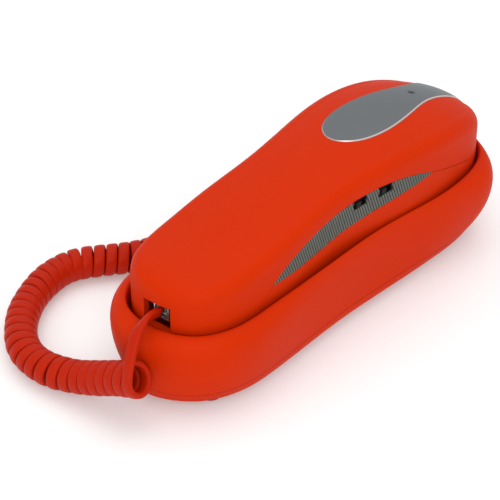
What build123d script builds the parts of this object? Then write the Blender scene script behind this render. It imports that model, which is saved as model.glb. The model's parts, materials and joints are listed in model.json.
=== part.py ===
"""Slimline wall telephone: a cradle base, a lift-off handset with its keypad, and a curly handset cord.

Millimetres. +X is the phone's right side, +Y points to the ear end and +Z is up, with the phone
standing on its four feet. Lengths along Y are measured from the middle of the handset's grip, and each
finished piece is moved along Y so that the origin is the middle of the base's footprint, on the table.
"""

import math
import os

from build123d import *

os.makedirs("parts", exist_ok=True)

# ---- Driving dimensions: base ---------------------------------------------------------------
ORIGIN_SHIFT_Y = 2.0
FOOT_HEIGHT = 4.5
FOOT_RADIUS = 5.0
FOOT_PLACES = [(-14.5, -77), (14.5, -77), (-17.5, 74), (17.5, 74)]
COVER_FLOOR_TOP = 6.5
COVER_SPLIT_Z = 9.0
COVER_GAP = 0.2
RIM_BULGE_Z = 27.4
# The rim's crest half way along, and how much it rises for each millimetre towards the ear end.
RIM_Z = 36.0
RIM_SLOPE = 0.012
BASE_WALL = 2.0
CRADLE_FLOOR_Z = 20.7
CRADLE_THICK = 2.0
POCKET_WALL_Z = 33.0
CREST_SHARE = 0.18
BASE_SCREWS = [(-17, -60), (17, -60), (-21, 64), (21, 64)]
BASE_BOARD_Z = 7.0
BASE_BOARD_TOP = 8.2
JACK_TOP = 18.4
KEYHOLE_YS = (-42.0, 41.0)
KEYHOLE_ENTRY_RADIUS = 4.2
KEYHOLE_SLOT_RADIUS = 2.1
KEYHOLE_RUN = 7.0
HANGER_Y = 78.2
LINE_SOCKET_YS = (79.5, 91.0)

# ---- Driving dimensions: handset ------------------------------------------------------------
HANDSET_BOTTOM_Z = 21.0
HANDSET_WALL = 2.2
EDGE_RADIUS = 6.0
HEEL = 7.0
MOUTH_TIP = -91.5
EAR_TIP = 93.2
KEYPAD_FACE_Z = 23.5
KEYPAD_THICK = 2.0
SKIN_GRIP = 1.2
SKIN_INLAY = 1.4
BOARD_Z = 29.0
BOARD_TOP = 30.6
HANDSET_SCREWS = [(-12, -56), (12, -56), (-15, 50.5), (15, 50.5)]
SCREW_SEAT_Z = 24.5
SHELL_POST_Z = 34.0
SHELL_GAP = 0.25
EAR_Y = 62.0
MOUTH_Y = -70.0
INDICATOR_Y = 65.0
INDICATOR_Z = 62.3

# ---- Driving dimensions: controls -----------------------------------------------------------
KEY_PITCH = 10.5
KEY_ROWS = (8.0, -2.5, -13.0, -23.5)
KEY_SIZE = (8.4, 6.2)
FUNCTION_KEY_Y = 21.0
FUNCTION_KEY_SIZE = (8.4, 4.6)
KEY_PROUD = 1.5
KEY_CLEARANCE = 0.3
HOOK_Y = 36.0
HOOK_TRAVEL = 2.5
HOOK_RADIUS = 2.5
FIT = 0.06
SWITCH_YS = (0.0, 14.0)
SWITCH_Z = 51.8
NOTCH = (7.8, 3.8)
SWITCH_TRAVEL = 3.0
SWITCH_NAMES = ("ringer_switch_knob", "dial_mode_switch_knob")
KEY_NAMES = (
    "key_1", "key_2", "key_3", "key_4", "key_5", "key_6",
    "key_7", "key_8", "key_9", "key_star", "key_0", "key_hash",
)
FUNCTION_NAMES = ("key_mute", "key_flash", "key_redial")

# ---- Driving dimensions: cord ---------------------------------------------------------------
SOCKET_X = 1.5
SOCKET_Z = 39.0
BASE_SOCKET_Y = 48.0
BASE_SOCKET_Z = 13.4
COIL_DIAMETER = 13.6
LEAD_DIAMETER = 3.4
BEND_SHARE = 0.45

# Half outlines from the mouth tip to the ear tip: (y, half width) at matching stations.
RIM_STATIONS = [
    (-100.5, 0), (-97.6, 13.4), (-89, 24.4), (-75.5, 30.8), (-57, 31.8), (-36, 29.8), (-12, 28.7), (10, 29),
    (30, 31.4), (47, 34.8), (63, 36.3), (75, 35.6), (84, 29.8), (90.4, 19.6), (94.8, 9.5), (96.2, 0),
]
FOOT_STATIONS = [
    (-96.8, 0), (-94, 9.8), (-86, 20), (-73, 26.4), (-57, 28.2), (-36, 27.8), (-12, 27.4), (10, 28.3),
    (30, 29.4), (47, 30), (61, 29.8), (72, 28), (81, 23.8), (87, 17.6), (90.9, 9.6), (92.3, 0),
]
POCKET_STATIONS = [
    (-92.6, 0), (-91.2, 9.6), (-86.2, 18), (-75, 24.2), (-57, 25.8), (-36, 26.4), (-12, 26.6), (8, 27),
    (28, 29.2), (45, 30.8), (61, 30.2), (73, 27.6), (82.5, 23.2), (89.4, 15.6), (93.4, 7.6), (94.4, 0),
]
# The handset's sections: (y, half width, height of the back's edge, crown above the edge).
HANDSET_SECTIONS = [
    (-91.3, 3.2, 46.0, 0.2), (-90.4, 7.6, 48.8, 0.4), (-88.3, 12.8, 50.8, 0.7), (-84, 17.9, 52.2, 1.0),
    (-74, 22.9, 52.9, 1.2), (-57, 24.4, 54.9, 1.5), (-38, 24.5, 57.7, 1.7), (-13, 23.6, 61.2, 1.8),
    (8, 25.3, 62.9, 2.2), (27, 28.0, 63.2, 2.8), (45, 29.4, 62.4, 3.2), (61, 28.7, 60.5, 3.2),
    (75, 26, 57.2, 3.0), (84.5, 20.4, 54.0, 2.3), (89.4, 14.2, 51.2, 1.5), (92.0, 7.8, 48.2, 0.8),
    (93.0, 3.2, 45.0, 0.3),
]
# The two handset shells part along this side line: (y, z).
SHELL_SPLIT = [(-110, 33), (-62, 33), (-52.5, 41), (-5, 43.5), (24, 45.8), (41, 48), (82.5, 36), (110, 35)]
# The side grip, a leaf in side view: lower edge, then upper edge back to the mouth tip.
GRIP_LOWER = [(-52.5, 41.2), (-36, 41.0), (-5, 43.5), (24, 45.8), (41, 48.2)]
GRIP_UPPER = [(41, 48.2), (19, 53.6), (0, 54.0), (-18, 52.4), (-42, 46.8), (-52.5, 41.2)]
# The ear inlay's half outline, seen from above.
INLAY_STATIONS = [
    (11.5, 0), (13, 4.5), (17, 8.6), (24, 11.6), (34, 12.9), (44, 12.3), (54, 10.6), (64, 8.7), (73, 8.2),
    (82, 9), (92, 10.5), (100, 11),
]
# Middle line of the handset lead, from the plug over the rim to the coil.
HANDSET_LEAD = [
    (1.5, -92.0, 39.4), (1.8, -97.5, 41.2), (2.8, -103.4, 39.2), (4.0, -107.2, 34.8), (4.6, -108.4, 30.4),
]
# Middle line of the coil, from its raised end round the phone's left side.
COIL_LINE = [
    (9.2, -108.0, 24.8), (-1.5, -108.0, 19.4), (-12, -108.6, 13.6), (-24, -110, 9.0), (-38, -112.3, 7.1),
    (-53, -109, 7.1), (-66, -97.5, 7.1), (-74.5, -84.5, 7.1), (-79.5, -70, 7.1), (-79, -56, 7.1),
    (-70.5, -44.5, 7.1), (-61.5, -33.5, 7.1), (-56, -18.5, 7.1), (-55.2, -1, 7.1), (-55.8, 15, 7.1),
    (-55.4, 28, 7.1),
]
# Middle line of the base lead, from the coil's far end into the base.
BASE_LEAD = [
    (-55.4, 28, 7.1), (-55.2, 36, 8.8), (-52.4, 43.4, 11.4), (-44.0, 47.2, 12.9), (-35.0, 48.0, 13.4),
]


# ---- Helpers ---------------------------------------------------------------------------------
def closed_loop(stations):
    """Both sides of a half outline as one ring of points."""
    right = [(width, y) for y, width in stations]
    left = [(-width, y) for y, width in reversed(stations[1:-1])]
    return right + left


def inset_loop(loop, distance):
    """The ring moved inwards along its own normals."""
    moved = []
    for index, (x, y) in enumerate(loop):
        before = loop[index - 1]
        after = loop[(index + 1) % len(loop)]
        run_x = after[0] - before[0]
        run_y = after[1] - before[1]
        length = math.hypot(run_x, run_y)
        moved.append((x - distance * run_y / length, y + distance * run_x / length))
    return moved


def mixed_loop(first, second, share):
    """The ring that lies a share of the way from one ring to another."""
    pairs = zip(first, second)
    return [(a[0] + share * (b[0] - a[0]), a[1] + share * (b[1] - a[1])) for a, b in pairs]


def loft_rings(rings):
    """A solid lofted through (ring, height, share of the rim's slope) sections."""
    with BuildPart() as lofted:
        for loop, height, tilt in rings:
            with BuildSketch(Plane(origin=(0, 0, height), x_dir=(1, 0, 0), z_dir=(0, -RIM_SLOPE * tilt, 1))):
                with BuildLine():
                    ring = [Vector(*point) for point in loop]
                    add(Edge.make_spline(ring, periodic=True, parameters=RING_SPACING))
                make_face()
        loft()
    return lofted.part


def block(x_range, y_range, z_range):
    """A box given by its limits."""
    size = (x_range[1] - x_range[0], y_range[1] - y_range[0], z_range[1] - z_range[0])
    centre = (sum(x_range) / 2, sum(y_range) / 2, sum(z_range) / 2)
    return Pos(*centre) * Box(*size, mode=Mode.PRIVATE)


def post(x, y, radius, low, high):
    """An upright cylinder given by its ends."""
    return Pos(x, y, (low + high) / 2) * Cylinder(radius, high - low, mode=Mode.PRIVATE)


RIM = closed_loop(RIM_STATIONS)
# Every ring is spaced like the rim, so that the surfaces between rings stay plain.
RING_SPACING = [0.0]
for index, corner in enumerate(RIM):
    RING_SPACING.append(RING_SPACING[-1] + math.dist(corner, RIM[(index + 1) % len(RIM)]))
FOOT = closed_loop(FOOT_STATIONS)
POCKET = closed_loop(POCKET_STATIONS)
CREST = mixed_loop(POCKET, RIM, CREST_SHARE)


def base_form(inset):
    """The base's outer form, moved inwards by the inset."""
    rings = [
        (inset_loop(FOOT, inset + 0.8), FOOT_HEIGHT, 0),
        (inset_loop(FOOT, inset), FOOT_HEIGHT + 1.5, 0),
        (inset_loop(mixed_loop(FOOT, RIM, 0.55), inset), 13.0, 0.3),
        (inset_loop(mixed_loop(FOOT, RIM, 0.9), inset), 20.5, 0.6),
        (inset_loop(RIM, inset), RIM_BULGE_Z, 0.8),
    ]
    for angle in (25, 50, 72, 90):
        share = 1 - math.cos(math.radians(angle))
        height = RIM_BULGE_Z + (RIM_Z - RIM_BULGE_Z) * math.sin(math.radians(angle))
        rings.append((inset_loop(mixed_loop(RIM, CREST, share), inset), height, 0.8 + 0.2 * share))
    return loft_rings(rings)


def pocket_form(outset):
    """The cradle's hollow up to the rim's crest, or the skin round it when moved outwards."""
    low = CRADLE_FLOOR_Z - outset
    rings = [
        (inset_loop(POCKET, 3.5 - outset), low, 0),
        (inset_loop(POCKET, 1.0 - outset), low + 3.0, 0),
        (inset_loop(POCKET, 0.2 - outset), low + 7.0, 0.4),
        (inset_loop(POCKET, -outset), POCKET_WALL_Z, 0.8),
    ]
    for angle in (35, 65, 90):
        share = 1 - math.cos(math.radians(angle))
        height = POCKET_WALL_Z + (RIM_Z - POCKET_WALL_Z) * math.sin(math.radians(angle))
        rings.append((inset_loop(mixed_loop(POCKET, CREST, share), -outset), height, 0.8 + 0.2 * share))
    return loft_rings(rings)


def tip_drop(y, radius):
    """How far a rounded end falls away from its full height near either tip."""
    distance = min(y - MOUTH_TIP, EAR_TIP - y)
    if distance >= radius:
        return 0.0
    return radius - math.sqrt(radius**2 - (radius - distance) ** 2)


def handset_form(inset):
    """The handset's outer form, moved inwards by the inset."""
    with BuildPart() as shape:
        for y, half_width, edge_height, crown in HANDSET_SECTIONS:
            if min(y - MOUTH_TIP, EAR_TIP - y) < inset + 0.1:
                continue
            width = half_width - inset
            low = HANDSET_BOTTOM_Z + inset + 0.9 * tip_drop(y, 12.0)
            high = edge_height - inset
            round_top = min(EDGE_RADIUS - inset, 0.55 * width)
            heel = min(HEEL, 0.6 * width)
            side_low = min(low + 2.0 * heel, 0.5 * (low + high))
            bend = 0.293 * round_top
            with BuildSketch(Plane(origin=(0, y, 0), x_dir=(1, 0, 0), z_dir=(0, -1, 0))):
                with BuildLine():
                    Line((-(width - heel), low), (width - heel, low))
                    Spline((width - heel, low), (width, side_low), tangents=[(1, 0), (0, 1)])
                    Line((width, side_low), (width, high - round_top))
                    ThreePointArc(
                        (width, high - round_top), (width - bend, high - bend), (width - round_top, high)
                    )
                    ThreePointArc((width - round_top, high), (0, high + crown), (round_top - width, high))
                    ThreePointArc(
                        (round_top - width, high), (bend - width, high - bend), (-width, high - round_top)
                    )
                    Line((-width, high - round_top), (-width, side_low))
                    Spline((-width, side_low), (heel - width, low), tangents=[(0, -1), (1, 0)])
                make_face()
        loft()
    return shape.part


def side_at(y):
    """Half width of the handset at a station, read between its sections."""
    for before, after in zip(HANDSET_SECTIONS, HANDSET_SECTIONS[1:]):
        if before[0] <= y <= after[0]:
            share = (y - before[0]) / (after[0] - before[0])
            return before[1] + share * (after[1] - before[1])
    return 0.0


def side_prism(points, x_range):
    """A solid that has the outline of (y, z) points in side view."""
    with BuildPart() as prism:
        with BuildSketch(Plane.YZ.offset(x_range[0])):
            with BuildLine():
                Polyline(*points, close=True)
            make_face()
        extrude(amount=x_range[1] - x_range[0])
    return prism.part


def leaf_prism(x_range):
    """The grip's leaf outline carried across one side of the handset."""
    with BuildPart() as prism:
        with BuildSketch(Plane.YZ.offset(x_range[0])):
            with BuildLine():
                Spline(*GRIP_LOWER)
                Spline(*GRIP_UPPER)
            make_face()
        extrude(amount=x_range[1] - x_range[0])
    return prism.part


def inlay_prism():
    """The teardrop outline of the ear inlay carried upwards."""
    right = [(width, y) for y, width in INLAY_STATIONS]
    left = [(-width, y) for y, width in reversed(INLAY_STATIONS[1:])]
    with BuildPart() as prism:
        with BuildSketch(Plane.XY.offset(48)):
            with BuildLine():
                Spline(*(left + right))
                Line(right[-1], left[0])
            make_face()
        extrude(amount=30)
    return prism.part


def bent_tube(points, diameter):
    """A round cord along straight runs with tangent arcs, and the arcs' radii."""
    corners = [Vector(*point) for point in points]
    radii = []
    for index in range(1, len(corners) - 1):
        before = corners[index] - corners[index - 1]
        after = corners[index + 1] - corners[index]
        half_turn = math.radians(before.get_angle(after)) / 2
        radii.append(BEND_SHARE * min(before.length, after.length) / math.tan(half_turn))
    with BuildPart() as tube:
        with BuildLine() as path:
            FilletPolyline(*points, radius=radii)
        with BuildSketch(Plane(origin=path.line @ 0, z_dir=path.line % 0)):
            Circle(diameter / 2)
        sweep()
    length = sum(edge.length for edge in path.edges())
    expected = math.pi * (diameter / 2) ** 2 * length
    print("cord", round(length, 1), "mm, volume ratio", round(tube.part.volume / expected, 4))
    print("  radii", [round(radius, 1) for radius in radii])
    return tube.part


def finish(part, name):
    """Place a piece round the origin, label it and write its STEP file."""
    placed = Pos(0, ORIGIN_SHIFT_Y, 0) * part
    placed.label = name
    export_step(placed, f"parts/{name}.step")


# ---- Base ------------------------------------------------------------------------------------
base_outside = base_form(0)
base_inside = base_form(BASE_WALL)
cradle = pocket_form(0)
cradle_skin = pocket_form(CRADLE_THICK - 0.2)

line_window = block((-7.8, 7.8), (86, 105), (BASE_BOARD_TOP, JACK_TOP))
cord_window = block(
    (-40, -28), (BASE_SOCKET_Y - 5.7, BASE_SOCKET_Y + 5.7), (BASE_BOARD_TOP, JACK_TOP)
)

with BuildPart() as base_top_shell:
    add(base_outside)
    add(block((-60, 60), (-120, 120), (0, COVER_SPLIT_Z)), mode=Mode.SUBTRACT)
    add((base_inside & block((-60, 60), (-120, 120), (0, RIM_Z - 4))) - cradle_skin, mode=Mode.SUBTRACT)
    add(cradle, mode=Mode.SUBTRACT)
    for x, y in BASE_SCREWS:
        add(post(x, y, 3.2, COVER_SPLIT_Z, CRADLE_FLOOR_Z - 1.0) & base_outside)
    add(post(0, HOOK_Y, 4.5, CRADLE_FLOOR_Z - 1.0, KEYPAD_FACE_Z - 0.55))
    for x, y in BASE_SCREWS:
        add(post(x, y, 1.2, COVER_SPLIT_Z, CRADLE_FLOOR_Z - CRADLE_THICK), mode=Mode.SUBTRACT)
    add(block((-3.1, 3.1), (HANGER_Y - 1.2, HANGER_Y + 1.2), (10, 30)), mode=Mode.SUBTRACT)
    add(line_window, mode=Mode.SUBTRACT)
    add(cord_window, mode=Mode.SUBTRACT)
finish(base_top_shell.part, "base_top_shell")

with BuildPart() as base_bottom_cover:
    add(base_outside)
    add(block((-60, 60), (-120, 120), (COVER_SPLIT_Z - COVER_GAP, 60)), mode=Mode.SUBTRACT)
    add(base_inside & block((-60, 60), (-120, 120), (COVER_FLOOR_TOP, 60)), mode=Mode.SUBTRACT)
    for x, y in BASE_SCREWS:
        add(post(x, y, 4.2, COVER_FLOOR_TOP - 1, COVER_SPLIT_Z))
    for x in (-12, 12):
        for y in (-50, 30):
            add(block((x - 2, x + 2), (y - 2, y + 2), (COVER_FLOOR_TOP - 1, 10.5)))
    for x, y in BASE_SCREWS:
        add(post(x, y, 1.3, 0, 20), mode=Mode.SUBTRACT)
        add(post(x, y, 3.0, 0, 6.9), mode=Mode.SUBTRACT)
    for y in KEYHOLE_YS:
        add(post(0, y, KEYHOLE_ENTRY_RADIUS, 0, 10), mode=Mode.SUBTRACT)
        add(
            block((-KEYHOLE_SLOT_RADIUS, KEYHOLE_SLOT_RADIUS), (y, y + KEYHOLE_RUN), (0, 10)),
            mode=Mode.SUBTRACT,
        )
        add(post(0, y + KEYHOLE_RUN, KEYHOLE_SLOT_RADIUS, 0, 10), mode=Mode.SUBTRACT)
    for x, y in FOOT_PLACES:
        add(post(x, y, 2.0, 0, 20), mode=Mode.SUBTRACT)
    add(line_window, mode=Mode.SUBTRACT)
    add(cord_window, mode=Mode.SUBTRACT)
finish(base_bottom_cover.part, "base_bottom_cover")

with BuildPart() as base_feet:
    for x, y in FOOT_PLACES:
        with Locations((x, y, 0)):
            Cylinder(FOOT_RADIUS, FOOT_HEIGHT, align=(Align.CENTER, Align.CENTER, Align.MIN))
            Cylinder(2.0, COVER_FLOOR_TOP + 0.9, align=(Align.CENTER, Align.CENTER, Align.MIN))
    fillet(base_feet.edges().group_by(Axis.Z)[0], 1.4)
finish(base_feet.part, "base_feet")

with BuildPart() as base_screws:
    for x, y in BASE_SCREWS:
        with Locations((x, y, 5.1)):
            Cylinder(2.6, 1.8, align=(Align.CENTER, Align.CENTER, Align.MIN))
            Cylinder(1.2, 12.0, align=(Align.CENTER, Align.CENTER, Align.MIN))
finish(base_screws.part, "base_screws")

with BuildPart() as base_ballast_plate:
    with BuildSketch(Plane.XY.offset(10.5)):
        with Locations((0, -10)):
            RectangleRounded(34, 86, 4)
    extrude(amount=3.0)
finish(base_ballast_plate.part, "base_ballast_plate")

with BuildPart() as base_socket_board:
    with BuildSketch(Plane.XY.offset(BASE_BOARD_Z)):
        with Locations((-13.5, BASE_SOCKET_Y)):
            Rectangle(27, 11)
        with Locations((0, 69)):
            Rectangle(18, 36)
    extrude(amount=BASE_BOARD_TOP - BASE_BOARD_Z)
finish(base_socket_board.part, "base_socket_board")

with BuildPart() as line_socket:
    add(block((-7.6, 7.6), LINE_SOCKET_YS, (BASE_BOARD_TOP, JACK_TOP)))
    add(block((-5.0, 5.0), (LINE_SOCKET_YS[0] + 1.5, 99), (9.8, 16.6)), mode=Mode.SUBTRACT)
    add(block((-3.1, 3.1), (LINE_SOCKET_YS[0] + 1.5, 99), (9.0, 17.6)), mode=Mode.SUBTRACT)
finish(line_socket.part, "line_socket")

with BuildPart() as line_socket_contacts:
    for x in (-2.0, -0.7, 0.7, 2.0):
        add(block((x - 0.25, x + 0.25), (LINE_SOCKET_YS[0] + 2, LINE_SOCKET_YS[1] - 1), (16.6, 17.1)))
        add(block((x - 0.25, x + 0.25), (LINE_SOCKET_YS[0] + 1.5, LINE_SOCKET_YS[0] + 2), (13, 17.1)))
finish(line_socket_contacts.part, "line_socket_contacts")

with BuildPart() as base_cord_socket:
    add(block((-30.2, -18.6), (BASE_SOCKET_Y - 5.5, BASE_SOCKET_Y + 5.5), (BASE_BOARD_TOP, JACK_TOP)))
    add(
        block((-33, -20.6), (BASE_SOCKET_Y - 3.95, BASE_SOCKET_Y + 3.95), (10.1, 16.7)),
        mode=Mode.SUBTRACT,
    )
finish(base_cord_socket.part, "base_cord_socket")

with BuildPart() as hanger_tab:
    add(block((-3.0, 3.0), (HANGER_Y - 1.1, HANGER_Y + 1.1), (17.2, 25.4)))
    add(block((-4.5, 4.5), (HANGER_Y - 1.9, HANGER_Y + 1.1), (16.9, CRADLE_FLOOR_Z - CRADLE_THICK)))
    fillet(hanger_tab.edges().filter_by(Axis.X).group_by(Axis.Z)[-1], 0.8)
finish(hanger_tab.part, "hanger_tab")

# ---- Handset shells and trims ----------------------------------------------------------------
handset_outside = handset_form(0)
handset_inside = handset_form(HANDSET_WALL)
grip_under = handset_form(SKIN_GRIP)
inlay_under = handset_form(SKIN_INLAY)
post_limit = handset_form(1.5)
handset_skin = handset_outside - handset_inside
leaf_right = leaf_prism((8, 40))
leaf_left = leaf_prism((-40, -8))
teardrop = inlay_prism()
raised_split = [(y, z + SHELL_GAP) for y, z in SHELL_SPLIT]
upper_zone = side_prism(raised_split + [(110, 80), (-110, 80)], (-50, 50))
lower_zone = side_prism(SHELL_SPLIT + [(110, 5), (-110, 5)], (-50, 50))
notch_heights = (SWITCH_Z - NOTCH[1] / 2, SWITCH_Z + NOTCH[1] / 2)
notches = [block((15, 40), (y - NOTCH[0] / 2, y + NOTCH[0] / 2), notch_heights) for y in SWITCH_YS]
socket_window = block((SOCKET_X - 6.2, SOCKET_X + 6.2), (-100, -80), (SHELL_SPLIT[0][1], SOCKET_Z + 4.8))

with BuildPart() as side_grip_right:
    add((handset_outside - grip_under) & leaf_right)
    for notch in notches:
        add(notch, mode=Mode.SUBTRACT)
finish(side_grip_right.part, "side_grip_right")

with BuildPart() as side_grip_left:
    add((handset_outside - grip_under) & leaf_left)
finish(side_grip_left.part, "side_grip_left")

with BuildPart() as ear_inlay:
    add((handset_outside - inlay_under) & teardrop)
    add(post(0, INDICATOR_Y, 1.7, 40, 80), mode=Mode.SUBTRACT)
finish(ear_inlay.part, "ear_inlay")

with BuildPart() as handset_outer_shell:
    add(handset_skin & upper_zone)
    for x, y in HANDSET_SCREWS:
        add(post(x, y, 3.2, SHELL_POST_Z, 70) & post_limit - post(x, y, 1.2, 20, 46))
    add(side_grip_right.part, mode=Mode.SUBTRACT)
    add(side_grip_left.part, mode=Mode.SUBTRACT)
    add((handset_outside - inlay_under) & teardrop, mode=Mode.SUBTRACT)
    add(post(0, INDICATOR_Y, 1.7, 40, 80), mode=Mode.SUBTRACT)
    for notch in notches:
        add(notch, mode=Mode.SUBTRACT)
    add(socket_window, mode=Mode.SUBTRACT)
finish(handset_outer_shell.part, "handset_outer_shell")

key_places = []
for row, y in enumerate(KEY_ROWS):
    for column in range(3):
        key_places.append((KEY_PITCH * (1 - column), y, KEY_NAMES[3 * row + column]))
function_places = [(KEY_PITCH * (1 - column), name) for column, name in enumerate(FUNCTION_NAMES)]
plate = block((-19, 19), (-33, 46), (HANDSET_BOTTOM_Z, KEYPAD_FACE_Z + KEYPAD_THICK)) & handset_outside
posts_below = [post(x, y, 3.4, HANDSET_BOTTOM_Z + 1.5, SHELL_POST_Z) & post_limit for x, y in HANDSET_SCREWS]

with BuildPart() as handset_inner_shell:
    add(handset_skin & lower_zone)
    add(plate)
    for screw_post in posts_below:
        add(screw_post)
    with BuildSketch(Plane.XY.offset(10)):
        with Locations((0, 6.5)):
            RectangleRounded(33, 75, 5)
    extrude(amount=KEYPAD_FACE_Z - 10, mode=Mode.SUBTRACT)
    with BuildSketch(Plane.XY.offset(KEYPAD_FACE_Z - 1)):
        with Locations([(x, y) for x, y, name in key_places]):
            RectangleRounded(KEY_SIZE[0] + 2 * KEY_CLEARANCE, KEY_SIZE[1] + 2 * KEY_CLEARANCE, 1.8)
        with Locations([(x, FUNCTION_KEY_Y) for x, name in function_places]):
            RectangleRounded(
                FUNCTION_KEY_SIZE[0] + 2 * KEY_CLEARANCE, FUNCTION_KEY_SIZE[1] + 2 * KEY_CLEARANCE, 1.8
            )
        with Locations((0, HOOK_Y)):
            Circle(HOOK_RADIUS + FIT)
    extrude(amount=KEYPAD_THICK + 2, mode=Mode.SUBTRACT)
    with BuildSketch(Plane.XY.offset(HANDSET_BOTTOM_Z - 2)):
        with Locations((0, EAR_Y)):
            Circle(0.9)
            with PolarLocations(4, 6):
                Circle(0.9)
            with PolarLocations(8, 12):
                Circle(0.9)
        with Locations((0, MOUTH_Y)):
            Circle(0.7)
            with PolarLocations(3.2, 6):
                Circle(0.7)
        with Locations((0, HANGER_Y)):
            Rectangle(6.8, 3.2)
    extrude(amount=5.5, mode=Mode.SUBTRACT)
    for x, y in HANDSET_SCREWS:
        add(post(x, y, 1.3, 15, 40), mode=Mode.SUBTRACT)
        add(post(x, y, 2.8, 15, SCREW_SEAT_Z), mode=Mode.SUBTRACT)
    add(side_grip_right.part, mode=Mode.SUBTRACT)
    add(side_grip_left.part, mode=Mode.SUBTRACT)
finish(handset_inner_shell.part, "handset_inner_shell")

# ---- Handset inner parts ---------------------------------------------------------------------
with BuildPart() as handset_screws:
    for x, y in HANDSET_SCREWS:
        with Locations((x, y, SCREW_SEAT_Z - 1.7)):
            Cylinder(2.5, 1.7, align=(Align.CENTER, Align.CENTER, Align.MIN))
            Cylinder(1.2, 18.0, align=(Align.CENTER, Align.CENTER, Align.MIN))
finish(handset_screws.part, "handset_screws")

with BuildPart() as main_board:
    with BuildSketch(Plane.XY.offset(BOARD_Z)):
        RectangleRounded(34, 92, 2)
        with Locations((0, HOOK_Y)):
            Circle(4.8, mode=Mode.SUBTRACT)
    extrude(amount=BOARD_TOP - BOARD_Z)
finish(main_board.part, "main_board")

with BuildPart() as keypad_rubber_sheet:
    with BuildSketch(Plane.XY.offset(28.0)):
        with Locations((0, -1.5)):
            RectangleRounded(31.6, 56, 2)
    extrude(amount=1.0)
finish(keypad_rubber_sheet.part, "keypad_rubber_sheet")

with BuildPart() as handset_weight:
    with BuildSketch(Plane.XY.offset(BOARD_TOP)):
        with Locations((0, -29)):
            RectangleRounded(22, 30, 2)
    extrude(amount=5.0)
finish(handset_weight.part, "handset_weight")

with BuildPart() as ringer_sounder:
    with Locations((0, 3, BOARD_TOP)):
        Cylinder(11, 5.0, align=(Align.CENTER, Align.CENTER, Align.MIN))
        Cylinder(1.5, 5.0, align=(Align.CENTER, Align.CENTER, Align.MIN), mode=Mode.SUBTRACT)
    fillet(ringer_sounder.edges().group_by(Axis.Z)[-1].sort_by(SortBy.LENGTH)[-1], 0.8)
finish(ringer_sounder.part, "ringer_sounder")

with BuildPart() as receiver_gasket:
    with Locations((0, EAR_Y, 23.3)):
        Cylinder(13.5, 0.9, align=(Align.CENTER, Align.CENTER, Align.MIN))
        Cylinder(10.5, 0.9, align=(Align.CENTER, Align.CENTER, Align.MIN), mode=Mode.SUBTRACT)
finish(receiver_gasket.part, "receiver_gasket")

with BuildPart() as receiver_capsule:
    with Locations((0, EAR_Y, 24.2)):
        Cylinder(14, 5.0, align=(Align.CENTER, Align.CENTER, Align.MIN))
        Cylinder(8.5, 8.0, align=(Align.CENTER, Align.CENTER, Align.MIN))
    fillet(receiver_capsule.edges().group_by(Axis.Z)[-1], 0.8)
finish(receiver_capsule.part, "receiver_capsule")

with BuildPart() as microphone_boot:
    with Locations((0, MOUTH_Y, 23.5)):
        Cylinder(6.4, 6.0, align=(Align.CENTER, Align.CENTER, Align.MIN))
        Cylinder(4.85, 6.0, align=(Align.CENTER, Align.CENTER, Align.MIN), mode=Mode.SUBTRACT)
finish(microphone_boot.part, "microphone_boot")

with BuildPart() as microphone_capsule:
    with Locations((0, MOUTH_Y, 24.0)):
        Cylinder(4.85, 5.2, align=(Align.CENTER, Align.CENTER, Align.MIN))
finish(microphone_capsule.part, "microphone_capsule")

with BuildPart() as indicator_lens:
    add(post(0, INDICATOR_Y, 1.6, INDICATOR_Z - 3.3, INDICATOR_Z))
    fillet(indicator_lens.edges().group_by(Axis.Z)[-1], 0.5)
finish(indicator_lens.part, "indicator_lens")

with BuildPart() as indicator_lamp:
    add(post(0, INDICATOR_Y, 1.5, INDICATOR_Z - 7.3, INDICATOR_Z - 3.6))
    for x in (-0.75, 0.75):
        add(post(x, INDICATOR_Y, 0.25, INDICATOR_Z - 14.5, INDICATOR_Z - 7.3))
finish(indicator_lamp.part, "indicator_lamp")

with BuildPart() as handset_socket:
    add(block((SOCKET_X - 5.4, SOCKET_X + 5.4), (-87.0, -74.5), (SOCKET_Z - 4.7, SOCKET_Z + 4.7)))
    add(
        block((SOCKET_X - 3.95, SOCKET_X + 3.95), (-88, -76.5), (SOCKET_Z - 3.3, SOCKET_Z + 3.3)),
        mode=Mode.SUBTRACT,
    )
finish(handset_socket.part, "handset_socket")

with BuildPart() as hook_switch:
    add(block((-5.2, 5.2), (HOOK_Y - 5.2, HOOK_Y + 5.2), (BOARD_TOP, 41.0)))
    add(post(0, HOOK_Y, 3.6, BOARD_TOP - 1, 39.5), mode=Mode.SUBTRACT)
finish(hook_switch.part, "hook_switch")

with BuildPart() as hook_plunger:
    with Locations((0, HOOK_Y, 0)):
        with Locations((0, 0, KEYPAD_FACE_Z - 0.5)):
            Cylinder(HOOK_RADIUS, 6.0, align=(Align.CENTER, Align.CENTER, Align.MIN))
        with Locations((0, 0, 28.2)):
            Cylinder(3.9, 1.0, align=(Align.CENTER, Align.CENTER, Align.MIN))
            Cylinder(1.9, 6.0, align=(Align.CENTER, Align.CENTER, Align.MIN))
    fillet(hook_plunger.edges().group_by(Axis.Z)[0], 0.8)
finish(hook_plunger.part, "hook_plunger")

with BuildPart() as hook_spring:
    with BuildLine(Plane.XY.offset(29.55)) as coil_line:
        spring_line = Helix(pitch=1.4, height=9.6, radius=2.75, center=(0, 0, 0))
    with BuildSketch(Plane(origin=spring_line @ 0, z_dir=spring_line % 0)):
        Circle(0.25)
    sweep(path=spring_line, is_frenet=True)
finish(Pos(0, HOOK_Y, 0) * hook_spring.part, "hook_spring")

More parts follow.
